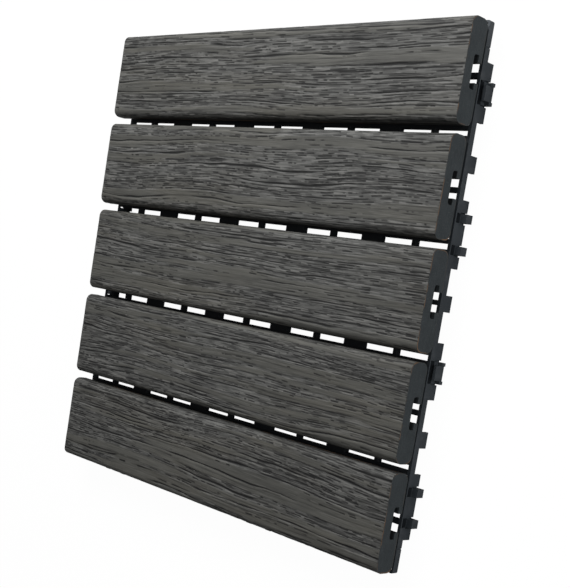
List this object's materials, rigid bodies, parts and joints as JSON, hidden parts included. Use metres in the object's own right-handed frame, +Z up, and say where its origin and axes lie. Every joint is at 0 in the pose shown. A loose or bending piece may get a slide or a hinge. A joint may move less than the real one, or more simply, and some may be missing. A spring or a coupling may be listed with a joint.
{
  "type": "interlocking deck tile",
  "caption": "Square deck tile of broad grained composite slats side by side on a moulded plastic grid whose edges carry snap tabs and ears that lock to neighbouring tiles.",
  "frame": {"origin": "on the ground, under the middle of the tile", "axes": "+X along the slats, +Y across the slats, from the one nearest the camera to the one furthest away, +Z up, towards the walking face"},
  "size_m": [0.3072, 0.3072, 0.0245],
  "materials": {
    "slat_face": "grey wood-plastic composite with a deep embossed grain, matt",
    "slat_core": "sawn end of the composite core, matt",
    "grid_plastic": "moulded black-grey polypropylene, matt"
  },
  "bodies": {
    "root": {"base_grid": "grid_plastic", "slat_1": "slat_face", "slat_2": "slat_face", "slat_3": "slat_face", "slat_4": "slat_face", "slat_5": "slat_face"}
  },
  "joints": []
}
